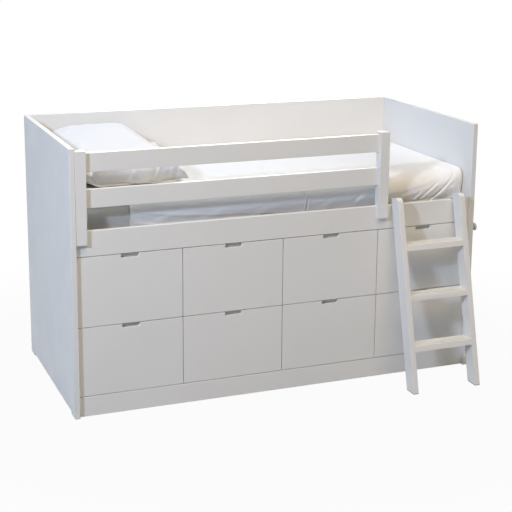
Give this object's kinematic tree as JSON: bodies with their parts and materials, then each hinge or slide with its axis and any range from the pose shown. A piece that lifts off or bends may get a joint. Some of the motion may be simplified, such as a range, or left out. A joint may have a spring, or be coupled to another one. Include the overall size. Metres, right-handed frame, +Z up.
{
  "type": "cabin bed",
  "caption": "Cabin bed: end panels and a back board around a slatted bed on a cabinet of notched drawers, with bedding, a guard rail and a leaning hook-on ladder.",
  "frame": {"origin": "on the floor, under the middle of the whole outline, which takes in the ladder in front and the knob on the right end panel", "axes": "+X along the bed from the head end (left) to the foot end (right), +Y from the front to the back board, +Z up"},
  "size_m": [2.092, 1.2542, 1.26],
  "materials": {
    "white_lacquer": "satin white lacquer on board",
    "white_melamine": "white melamine",
    "plain_wood": "bare planed softwood",
    "runner_steel": "white epoxy coating",
    "zinc_steel": "zinc plating",
    "mattress_cover": "pale woven ticking",
    "bed_cotton": "white cotton",
    "pillow_cotton": "white cotton",
    "knob_grey": "matt grey",
    "pad_rubber": "matt"
  },
  "bodies": {
    "bed": {"left_end_panel": "white_lacquer", "right_end_panel": "white_lacquer", "back_board_upper": "white_lacquer", "back_board_lower": "white_lacquer", "side_board": "white_lacquer", "plinth": "white_lacquer", "base_panel": "white_melamine", "partition_left": "white_melamine", "partition_middle": "white_melamine", "partition_right": "white_melamine", "slat_bearers": "plain_wood", "slats": "plain_wood", "runner_packers": "white_melamine", "cabinet_runners": "runner_steel", "runner_screws": "zinc_steel", "carcass_fittings": "zinc_steel", "foot_glides": "white_lacquer", "mattress": "mattress_cover", "cover": "bed_cotton", "pillow": "pillow_cotton", "guard_post_left": "white_lacquer", "guard_post_right": "white_lacquer", "guard_rail_top": "white_lacquer", "guard_rail_middle": "white_lacquer", "guard_bolts": "zinc_steel", "guard_dowels": "plain_wood", "side_knob": "knob_grey"},
    "ladder": {"ladder_stringer_left": "white_lacquer", "ladder_stringer_right": "white_lacquer", "ladder_tread_bottom": "white_lacquer", "ladder_tread_middle": "white_lacquer", "ladder_tread_top": "white_lacquer", "ladder_hooks": "zinc_steel", "ladder_screws": "zinc_steel", "ladder_dowels": "plain_wood", "ladder_foot_pads": "pad_rubber"},
    "drawer_1_lower": {"drawer_1_lower_front": "white_lacquer", "drawer_1_lower_box": "white_melamine", "drawer_1_lower_fittings": "runner_steel"},
    "drawer_2_lower": {"drawer_2_lower_front": "white_lacquer", "drawer_2_lower_box": "white_melamine", "drawer_2_lower_fittings": "runner_steel"},
    "drawer_3_lower": {"drawer_3_lower_front": "white_lacquer", "drawer_3_lower_box": "white_melamine", "drawer_3_lower_fittings": "runner_steel"},
    "drawer_4_lower": {"drawer_4_lower_front": "white_lacquer", "drawer_4_lower_box": "white_melamine", "drawer_4_lower_fittings": "runner_steel"},
    "drawer_1_upper": {"drawer_1_upper_front": "white_lacquer", "drawer_1_upper_box": "white_melamine", "drawer_1_upper_fittings": "runner_steel"},
    "drawer_2_upper": {"drawer_2_upper_front": "white_lacquer", "drawer_2_upper_box": "white_melamine", "drawer_2_upper_fittings": "runner_steel"},
    "drawer_3_upper": {"drawer_3_upper_front": "white_lacquer", "drawer_3_upper_box": "white_melamine", "drawer_3_upper_fittings": "runner_steel"},
    "drawer_4_upper": {"drawer_4_upper_front": "white_lacquer", "drawer_4_upper_box": "white_melamine", "drawer_4_upper_fittings": "runner_steel"}
  },
  "joints": [
    {"name": "ladder_lift", "type": "slide", "parent": "bed", "child": "ladder", "axis": [0, 0, 1], "range_m": [0, 0.15]},
    {"name": "drawer_1_lower_slide", "type": "slide", "parent": "bed", "child": "drawer_1_lower", "axis": [0, -1, 0], "range_m": [0, 0.37]},
    {"name": "drawer_2_lower_slide", "type": "slide", "parent": "bed", "child": "drawer_2_lower", "axis": [0, -1, 0], "range_m": [0, 0.37]},
    {"name": "drawer_3_lower_slide", "type": "slide", "parent": "bed", "child": "drawer_3_lower", "axis": [0, -1, 0], "range_m": [0, 0.37]},
    {"name": "drawer_4_lower_slide", "type": "slide", "parent": "bed", "child": "drawer_4_lower", "axis": [0, -1, 0], "range_m": [0, 0.114]},
    {"name": "drawer_1_upper_slide", "type": "slide", "parent": "bed", "child": "drawer_1_upper", "axis": [0, -1, 0], "range_m": [0, 0.37]},
    {"name": "drawer_2_upper_slide", "type": "slide", "parent": "bed", "child": "drawer_2_upper", "axis": [0, -1, 0], "range_m": [0, 0.37]},
    {"name": "drawer_3_upper_slide", "type": "slide", "parent": "bed", "child": "drawer_3_upper", "axis": [0, -1, 0], "range_m": [0, 0.37]},
    {"name": "drawer_4_upper_slide", "type": "slide", "parent": "bed", "child": "drawer_4_upper", "axis": [0, -1, 0], "range_m": [0, 0.031]}
  ]
}
